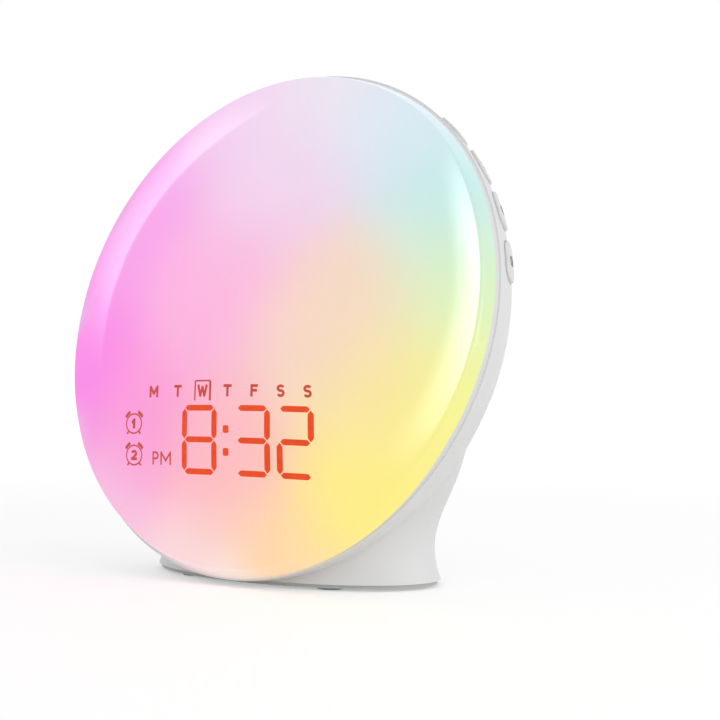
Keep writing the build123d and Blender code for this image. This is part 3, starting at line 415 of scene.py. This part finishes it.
def lit_mark(name, colour, strength):
    """Finish of lit marks: their own light, slightly uneven, under the lens's gloss."""
    material, shader, place = plain_finish(name, colour, 0.4, {
        "Specular IOR Level": 0.1, "Coat Weight": 0.3, "Coat Roughness": 0.04, "Emission Strength": strength})
    light = scaled(material, colour, spread(material, noise(material, place, 2.5), 0.9, 1.08))
    # painted light: the marks' body colour is a dim copy of their light's colour
    wire(material, shader, {"Emission Color": light, "Base Color": scaled(material, light, painted_glow_share)})
    relief(material, shader, noise(material, place, 9), 0.01)
    return material


def set_mark(piece, material):
    """Gives a mark its finish and puts it on the clock."""
    piece.data.materials.append(material)
    shade(piece, 30)
    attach(piece, "clock")


digit_light = lit_mark("digit_light", (0.86, 0.07, 0.005), 0.75)
mark_light = lit_mark("mark_light", (0.66, 0.075, 0.045), 0.7)
digits = [skin("bar", grid) for shown in digits_shown for grid in digit_bars(*shown)]
set_mark(one_piece("display_digits", digits), digit_light)

colon_places = ((0.85, -40.0), (0.85, -47.1))
dot_width, dot_height = 2.3, 2.4
dots = [skin("dot", rounded_box_grid(x, y, dot_width, dot_height)) for x, y in colon_places]
set_mark(one_piece("display_colon", dots), digit_light)

day_level = -27.8
day_height = 3.95
day_stroke = 0.9
days_shown = (("M", -31.7, 4.2), ("T", -20.3, 3.5), ("W", -9.3, 4.4), ("T", 1.3, 3.4), ("F", 12.0, 2.9),
              ("S", 22.1, 3.0), ("S", 31.9, 3.0))       # letter, place and width
days = [written(letter, x, day_level, wide, day_height, day_stroke) for letter, x, wide in days_shown]
set_mark(one_piece("display_days", days), mark_light)

bracket = np.array([(-12.5, -31.0), (-12.5, -24.6), (-6.0, -24.6), (-6.0, -31.0)])
bracket_strokes = (0.6, 0.5, 0.85)
sides = [skin("side", stroke_grid(np.linspace(bracket[k], bracket[k + 1], 12), stroke))
         for k, stroke in enumerate(bracket_strokes)]
set_mark(one_piece("display_day_bracket", sides), mark_light)

bell_clocks = (("1", -41.2, -38.3, 2.2, 1.15), ("2", -40.8, -48.7, 3.0, 0.9))   # number, place, width, stroke
number_height = 3.4
ring_size = np.array((3.9, 3.2))    # half of the ring's width and height
ring_end = 352.5                    # degrees: the last of its 48 points, before it closes
bell_size = ring_size + 1.0
bell_start, bell_end = 24, 60       # degrees from the top
foot_top = (2.6, -2.5)              # from the ring's middle
foot_end = (3.4, -3.4)
ring_stroke, bell_stroke, foot_stroke = 0.5, 1.1, 0.7
for number, x, y, wide, weight in bell_clocks:
    ring = arc_line(x, y, *ring_size, 0, ring_end, 48)
    parts = [skin("ring", stroke_grid(ring, ring_stroke, closed=True)),
             written(number, x, y, wide, number_height, weight)]
    for side in (-1, 1):
        bell = arc_line(x, y, *bell_size, side * bell_start, side * bell_end, 16)
        parts.append(skin("bell", stroke_grid(bell, bell_stroke)))
        foot = np.linspace((x + side * foot_top[0], y + foot_top[1]),
                           (x + side * foot_end[0], y + foot_end[1]), 6)
        parts.append(skin("foot", stroke_grid(foot, foot_stroke)))
    set_mark(one_piece("display_alarm_" + number, parts), mark_light)

afternoon_level = -49.6
afternoon_height = 4.3
afternoon_stroke = 0.62
afternoon = [written(letter, x, afternoon_level, wide, afternoon_height, afternoon_stroke)
             for letter, x, wide in (("P", -30.1, 2.9), ("M", -25.3, 4.9))]
set_mark(one_piece("display_afternoon", afternoon), mark_light)


# ================================================================ rear housing
# One moulding in light grey ABS with a fine satin texture: bowl, pedestal, snooze collar, button windows
# and speaker grille. It carries everything, and the lens clicks into its mouth.
def smooth_copy(node, name, body, material):
    """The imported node's mesh with its coincident points merged, shaded smooth except at real edges."""
    mesh = frame["nodes"][node].data.copy()
    mesh.name = name
    if "custom_normal" in mesh.attributes:
        mesh.attributes.remove(mesh.attributes["custom_normal"])
    work = bmesh.new()
    work.from_mesh(mesh)
    bmesh.ops.remove_doubles(work, verts=work.verts, dist=1e-7)
    work.to_mesh(mesh)
    work.free()
    mesh.materials.clear()
    mesh.materials.append(material)
    piece = new_object(name, mesh)
    shade(piece, 32)
    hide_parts(node)
    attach(piece, body)


def moulded(name, colour, roughness, grain, depth, tint=0.03, sockets=None):
    """Moulded plastic: a broad, faint change of colour, and a fine texture in the gloss and the relief."""
    material, shader, place = plain_finish(name, colour, roughness, sockets)
    change = spread(material, noise(material, place, 35, 3.0), 1 - tint, 1 + tint)
    fine = noise(material, place, grain)
    wire(material, shader, {
        "Base Color": scaled(material, colour, change),
        "Roughness": spread(material, fine, roughness - 0.06, roughness + 0.06)})
    relief(material, shader, fine, depth)
    return material


housing_finish = moulded("satin_grey_abs", (0.80, 0.80, 0.80), 0.46, 0.35, 0.012, 0.015)
smooth_copy("rear_housing", "housing_shell", "clock", housing_finish)


# ================================================================ snooze button
# Round cap of light grey ABS with a ribbed edge. It stands in the collar on top of the housing, and is
# pressed down along the face on a sprung switch.
snooze_finish = moulded("snooze_abs", (0.70, 0.70, 0.71), 0.42, 0.3, 0.012, 0.02)
smooth_copy("snooze_button", "snooze_cap", "snooze", snooze_finish)


# ================================================================ rim buttons
# Eight slot-shaped caps of the housing's plastic, four on each side, each in its own window of the rim.
# They are clipped in from inside and press on small switches, and each has a printed sign.
button_finish = moulded("button_abs", (0.76, 0.76, 0.77), 0.4, 0.3, 0.01, 0.02)
button_signs = {"alarm_one": "1", "alarm_two": "2", "light": "sun", "colour": "half", "time_set": "hands",
                "volume_up": "+", "volume_down": "-", "radio": "waves"}
for body in button_signs:
    smooth_copy(body + "_button", body + "_cap", body, button_finish)

cap_radius, cap_depth = 86.4, 43.9      # the bowl's form, as far out as the caps stand
bowl_fullness = 0.60
button_setback = 7.4


def sun_ray(angle):
    """A short line at a clock angle in degrees, from the unit box's round rim inwards."""
    way = np.array((sin(radians(angle)), cos(radians(angle))))
    return 0.5 + np.array((0.5 * way, 0.36 * way))


signs.update({
    "+": [((0, 0.5), (1, 0.5)), ((0.5, 0), (0.5, 1))],
    "-": [((0, 0.5), (1, 0.5))],
    "sun": [arc_line(0.5, 0.5, 0.2, 0.2, 0, 360)] + [sun_ray(angle) for angle in range(0, 360, 45)],
    "half": [arc_line(0.5, 0.5, 0.5, 0.5, 0, 360), ((0.5, 0), (0.5, 1))] + [
        arc_line(0.5, 0.5, wide, 0.45, 0, 180) for wide in (0.13, 0.26, 0.39)],
    "hands": [arc_line(0.5, 0.5, 0.5, 0.5, 0, 360), ((0.5, 0.5), (0.5, 0.8)), ((0.5, 0.5), (0.72, 0.5))],
    "waves": [arc_line(0.5, 0.0, 0.25, 0.4, -60, 60), arc_line(0.5, 0.0, 0.5, 0.9, -60, 60),
              ((0.5, 0), (0.5, 0.1))],
})
sign_size = 3.4
number_width = 2.2
sign_stroke = 0.5


def on_cap(clock_angle):
    """The laying of marks on a rim cap: x goes right and y up as seen from that side. The cap's skin is a
    Bezier quarter turned about the face's axis, whose radius is read off by its distance behind the seam."""
    side = 1 if clock_angle > 0 else -1
    u = np.linspace(0, 1, 801)
    setback = cap_depth * (3 * u * (1 - u) ** 2 * bowl_fullness + 3 * u * u * (1 - u) + u ** 3)
    radius = cap_radius * ((1 - u) ** 3 + 3 * u * (1 - u) ** 2 + 3 * u * u * (1 - u) * bowl_fullness)

    def lay(x, y, lift):
        """x as a place behind the seam, y as an angle round the rim, and the lift straight out."""
        behind = button_setback + side * x
        out = np.interp(behind, setback, radius)
        turn = clock_angle - side * y / out
        return on_face((out + lift) * np.sin(turn), (out + lift) * np.cos(turn), -behind)
    return lay


ink = moulded("button_ink", (0.06, 0.06, 0.065), 0.5, 0.2, 0.004, 0.15)
for joint in frame["joints"]:
    if joint["child"] not in button_signs:
        continue
    sign = button_signs[joint["child"]]
    outward = -Vector(joint["axis"])
    lay = on_cap(atan2(outward.x, outward.dot(face_up)))
    wide = number_width if sign.isdigit() else sign_size
    mark = written(sign, 0, 0, wide, sign_size, sign_stroke, lay)
    mark.name = joint["child"] + "_mark"
    mark.data.materials.append(ink)
    shade(mark, 30)
    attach(mark, joint["child"])


# ================================================================ base plate, cell door and feet
# The plate is screwed under the pedestal. A round twist-lock door in it closes the memory cell's cup, and
# four rubber feet are glued into recesses.
base_finish = moulded("base_abs", (0.52, 0.55, 0.52), 0.5, 0.4, 0.015, 0.03)
smooth_copy("base_plate", "base_cover", "clock", base_finish)
smooth_copy("battery_door", "cell_cover", "cell_door", base_finish)
foot_finish = moulded("foot_rubber", (0.42, 0.44, 0.43), 0.75, 0.5, 0.03, 0.08)
smooth_copy("rubber_feet", "feet", "clock", foot_finish)


# ================================================================ power inlet
# Low-voltage barrel inlet, soldered to the main board. Its black nose stands in the housing's hole, with
# a plated pin in its middle.
inlet_finish = moulded("inlet_black", (0.02, 0.02, 0.02), 0.38, 0.3, 0.008, 0.1)
smooth_copy("dc_jack", "inlet", "clock", inlet_finish)


def metal(name, colour, roughness, stretch):
    """Metal with fine drawn marks: noise stretched along one axis, in the gloss and the relief."""
    material, shader, place = plain_finish(name, colour, roughness, {"Metallic": 1.0})
    marks = noise(material, place, 0.5, 3.0, stretch)
    change = spread(material, noise(material, place, 4), 0.92, 1.06)
    wire(material, shader, {
        "Base Color": scaled(material, colour, change),
        "Roughness": spread(material, marks, roughness - 0.08, roughness + 0.12)})
    relief(material, shader, marks, 0.004)
    return material


contact_finish = metal("plated_spring_metal", (0.72, 0.62, 0.40), 0.28, (1, 6, 1))
smooth_copy("dc_jack_pin", "inlet_pin", "clock", contact_finish)


# ================================================================ screws
# Zinc-plated pan-head screws with a cross recess. They stand in bosses of the mouldings, wherever a board
# or another moulding is held.
screw_finish = metal("zinc_plate", (0.62, 0.62, 0.60), 0.3, (1, 1, 4))
smooth_copy("base_screws", "foot_screws", "clock", screw_finish)


def dress(slot, material):
    """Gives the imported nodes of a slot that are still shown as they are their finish."""
    for part in frame["record"]["subparts"]:
        if part["material_slot"] != slot or frame["nodes"][part["node"]].hide_render:
            continue
        node = frame["nodes"][part["node"]]
        node.data.materials.clear()
        node.data.materials.append(material)


dress("screw", screw_finish)
dress("contact", contact_finish)


# ================================================================ light chassis, lamps and light box
# White reflector pan behind the lens, its lamps on a ring board, and the dark block of light cells behind
# the display's milky windows.
reflector_finish = moulded("reflector_white", (0.86, 0.86, 0.84), 0.6, 0.5, 0.01, 0.01)
dress("reflector", reflector_finish)
box_finish = moulded("light_box_dark", (0.05, 0.05, 0.052), 0.55, 0.4, 0.01, 0.05)
dress("light_box", box_finish)
lamp_finish = moulded("lamp_package", (0.9, 0.86, 0.68), 0.25, 0.6, 0.004, 0.04, {"Coat Weight": 0.6})
dress("lamp", lamp_finish)
dress("display_insert", digit_light)


# ================================================================ circuit boards and their parts
# Glass-epoxy boards under green solder mask, with copper lines showing through as a lighter green, and
# the switches, processor, capacitors, socket and ribbon cable that sit on them.
def board_mask():
    """Solder mask over copper: brick-like lines of copper in the colour, the gloss and the relief."""
    material, shader, place = plain_finish("solder_mask", (0.02, 0.16, 0.07), 0.3, {"Coat Weight": 0.4})
    tracks = add_node(material, "ShaderNodeTexBrick", {
        "Vector": place, "Scale": 1.0, "Color1": (0.012, 0.11, 0.05, 1), "Color2": (0.016, 0.13, 0.06, 1),
        "Mortar": (0.05, 0.26, 0.12, 1), "Mortar Size": 0.35 * mm, "Brick Width": 9 * mm,
        "Row Height": 2.2 * mm})
    wire(material, shader, {
        "Base Color": tracks.outputs["Color"],
        "Roughness": spread(material, noise(material, place, 0.4), 0.22, 0.36)})
    relief(material, shader, tracks.outputs["Fac"], 0.02)
    return material


dress("circuit_board", board_mask())
dress("switch", moulded("switch_black", (0.02, 0.02, 0.022), 0.4, 0.3, 0.01, 0.1))
dress("chip_black", moulded("chip_black", (0.015, 0.015, 0.017), 0.5, 0.15, 0.006, 0.1))
dress("connector", moulded("connector_cream", (0.78, 0.74, 0.6), 0.45, 0.3, 0.008, 0.03))
dress("capacitor", metal("capacitor_sleeve", (0.05, 0.08, 0.16), 0.3, (1, 1, 5)))

ribbon_grey = (0.6, 0.62, 0.64)
core_pitch = 1.27
waves_per_unit = 20 / (2 * pi)      # of the wave texture at a scale of one


def ribbon_finish():
    """Grey flat cable: parallel cores as a wave across its width, in the colour and the relief."""
    material, shader, place = plain_finish("ribbon_grey", ribbon_grey, 0.45)
    cores = add_node(material, "ShaderNodeTexWave", {
        "Vector": place, "Scale": 1 / (waves_per_unit * core_pitch * mm), "Distortion": 0.0},
        bands_direction="X").outputs["Fac"]
    shadow = mapped(material, cores, (0.0, 1.0), (0.75, 1.0))
    wire(material, shader, {"Base Color": scaled(material, ribbon_grey, shadow)})
    relief(material, shader, cores, 0.2)
    return material


dress("ribbon", ribbon_finish())


# ================================================================ speaker and memory cell
# Small paper-cone speaker in a black pressed frame with a ferrite magnet, behind the grille, and the coin
# cell that keeps the time.
dress("speaker_paper", moulded("cone_paper", (0.03, 0.03, 0.03), 0.8, 0.25, 0.03, 0.2))
dress("speaker_steel", metal("frame_steel", (0.05, 0.05, 0.055), 0.4, (2, 1, 1)))
dress("speaker_magnet", moulded("ferrite", (0.06, 0.06, 0.065), 0.55, 0.3, 0.02, 0.2))
dress("cell_steel", metal("cell_steel", (0.7, 0.7, 0.72), 0.2, (4, 1, 1)))


# ================================================================ table, lamps and camera
# A pale table top that runs on into a white background, lit evenly all round, with a broad soft lamp at
# the clock's right. Two curved lamp panels shine in the lens's gloss alone.
def bare_nodes(owner):
    """A material or the world with an empty node tree."""
    owner.use_nodes = True
    owner.node_tree.nodes.clear()
    return owner


def seen_directly(owner):
    """1 for what the camera sees, straight, in gloss or through a clear piece, and 0 for light that falls on
    the clock."""
    ray = add_node(owner, "ShaderNodeLightPath", {}).outputs
    direct = maths(owner, "MAXIMUM", ray["Is Camera Ray"], ray["Is Glossy Ray"])
    return maths(owner, "MAXIMUM", direct, ray["Is Transmission Ray"])


table_reach = 8.0                   # metres from the clock to the table's edges
corners = np.array(((-1, -1, 0), (1, -1, 0), (1, 1, 0), (-1, 1, 0))) * table_reach
sheet = bpy.data.meshes.new("table_top")
sheet.from_pydata(corners, [], [(0, 1, 2, 3)])
floor = new_object("table_top", sheet)

table_near, table_far = 0.3, 2.0    # metres between which the table's own light grows, and how strong it is: painted shade, darker near the clock
near_light, far_light = 0.41, 0.6
pale = bare_nodes(bpy.data.materials.new("pale_table"))
matt = add_node(pale, "ShaderNodeBsdfDiffuse", {"Color": (0.75, 0.75, 0.75, 1)})
bounce = add_node(pale, "ShaderNodeBsdfDiffuse", {"Color": (0.9, 0.9, 0.9, 1)})
place = add_node(pale, "ShaderNodeTexCoord", {}).outputs["Object"]
away = add_node(pale, "ShaderNodeVectorMath", {0: place}, operation="LENGTH").outputs["Value"]
strength = mapped(pale, away, (table_near, table_far), (near_light, far_light))
own = add_node(pale, "ShaderNodeEmission", {"Color": (1, 1, 1, 1), "Strength": strength})
lit = add_node(pale, "ShaderNodeAddShader", {0: matt.outputs[0], 1: own.outputs[0]})
chosen = add_node(pale, "ShaderNodeMixShader", {
    "Fac": seen_directly(pale), 1: bounce.outputs[0], 2: lit.outputs[0]})
add_node(pale, "ShaderNodeOutputMaterial", {"Surface": chosen.outputs[0]})
sheet.materials.append(pale)

ambient = 0.71
world = bare_nodes(bpy.data.worlds.new("studio"))
bpy.context.scene.world = world
level = mapped(world, seen_directly(world), (0.0, 1.0), (ambient, 1.0))
sky = add_node(world, "ShaderNodeBackground", {"Color": (1, 1, 1, 1), "Strength": level})
add_node(world, "ShaderNodeOutputWorld", {"Surface": sky.outputs[0]})


def strip_lamp(name, azimuth, elevation, wide, tall, distance, strength):
    """A rectangular lamp that faces the clock, at an azimuth from straight ahead towards its right and an
    elevation over the horizon. Its width and height are degrees seen from the clock."""
    lamp = bpy.data.lights.new(name, "AREA")
    lamp.shape = "RECTANGLE"
    lamp.size = 2 * distance * tan(radians(wide / 2))
    lamp.size_y = 2 * distance * tan(radians(tall / 2))
    lamp.energy = strength * lamp.size * lamp.size_y * pi
    body = new_object(name, lamp)
    a, e = radians(azimuth), radians(elevation)
    way = Vector((sin(a) * cos(e), -cos(a) * cos(e), sin(e)))
    body.location = seam_centre + distance * way
    body.rotation_mode = "QUATERNION"
    body.rotation_quaternion = way.to_track_quat("Z", "Y")
    body.visible_camera = False


panel_distance = 2.4
bow_level = 27                      # elevation in degrees where the panels bow most


def softbox(name, edge, wide, bow, low, high, fades, fall, strength):
    """A lamp panel round the clock, its inner edge at azimuth edge + bow (elevation - bow_level)^2, in
    degrees. The fades are the degrees over which it brightens from that edge, from its low end and from
    its high end, and it falls off evenly towards its outer edge by the given share."""
    across, up = np.meshgrid(np.linspace(0, 1, 13), np.linspace(0, 1, 25))
    elevation = np.radians(low + (high - low) * up)
    azimuth = np.radians(edge + wide * across + bow * (np.degrees(elevation) - bow_level) ** 2)
    way = np.stack([np.sin(azimuth) * np.cos(elevation), -np.cos(azimuth) * np.cos(elevation),
                    np.sin(elevation)], -1)
    index = np.arange(across.size).reshape(across.shape)
    quads = np.stack([index[:-1, :-1], index[1:, :-1], index[1:, 1:], index[:-1, 1:]], -1).reshape(-1, 4)
    mesh = bpy.data.meshes.new(name)
    mesh.from_pydata((np.array(seam_centre) + panel_distance * way).reshape(-1, 3), [], quads)
    corners = np.empty(len(mesh.loops), int)
    mesh.loops.foreach_get("vertex_index", corners)
    shares = np.stack([across, up], -1).reshape(-1, 2)[corners]
    mesh.uv_layers.new(name="panel").data.foreach_set("uv", shares.ravel())
    light = bare_nodes(bpy.data.materials.new(name + "_light"))
    panel_place = add_node(light, "ShaderNodeUVMap", {}).outputs[0]
    axes = add_node(light, "ShaderNodeSeparateXYZ", {"Vector": panel_place}).outputs
    level = mapped(light, axes["X"], (0.0, 1.0), (strength, strength * (1 - fall)))
    for axis, dark, bright in (("X", 0, fades[0] / abs(wide)), ("Y", 0, fades[1] / (high - low)),
                               ("Y", 1, 1 - fades[2] / (high - low))):
        level = maths(light, "MULTIPLY", level, mapped(light, axes[axis], (dark, bright), smooth=True))
    glow = add_node(light, "ShaderNodeEmission", {"Color": (1, 1, 1, 1), "Strength": level})
    clear = add_node(light, "ShaderNodeBsdfTransparent", {})
    panel = add_node(light, "ShaderNodeAddShader", {0: glow.outputs[0], 1: clear.outputs[0]})
    add_node(light, "ShaderNodeOutputMaterial", {"Surface": panel.outputs[0]})
    mesh.materials.append(light)
    body = new_object(name, mesh)
    body.visible_camera = body.visible_diffuse = body.visible_shadow = False     # seen in the gloss alone


softbox("left_softbox", edge=-73.8, wide=-7.5, bow=0.0215, low=10, high=50, fades=(0.6, 13, 14), fall=1.0,
        strength=2.8)
softbox("front_softbox", edge=-7.5, wide=7, bow=-0.022, low=4, high=54, fades=(5.6, 22, 16), fall=0.0,
        strength=9.3)
strip_lamp("soft_key", azimuth=80, elevation=14, wide=50, tall=40, distance=2.2, strength=1.3)

camera_azimuth = 38.61              # around the head, from straight ahead
camera_distance = 431.6
camera_height = 61.0
camera_turn = 34.65                 # where it looks, from straight ahead
camera_pitch = 1.42
focal_length = 65.65
lens_of_camera = bpy.data.cameras.new("camera")
lens_of_camera.lens = focal_length
lens_of_camera.sensor_width = 36.0
camera = new_object("camera", lens_of_camera)
around = radians(camera_azimuth)
camera.location = (camera_distance * sin(around) * mm, seam_centre.y - camera_distance * cos(around) * mm,
                   camera_height * mm)
turn, pitch = radians(camera_turn), radians(camera_pitch)
looks = Vector((-sin(turn) * cos(pitch), cos(turn) * cos(pitch), sin(pitch)))
camera.rotation_mode = "QUATERNION"
camera.rotation_quaternion = looks.to_track_quat("-Z", "Y")
bpy.context.scene.camera = camera
bpy.context.scene.view_settings.view_transform = "Standard"
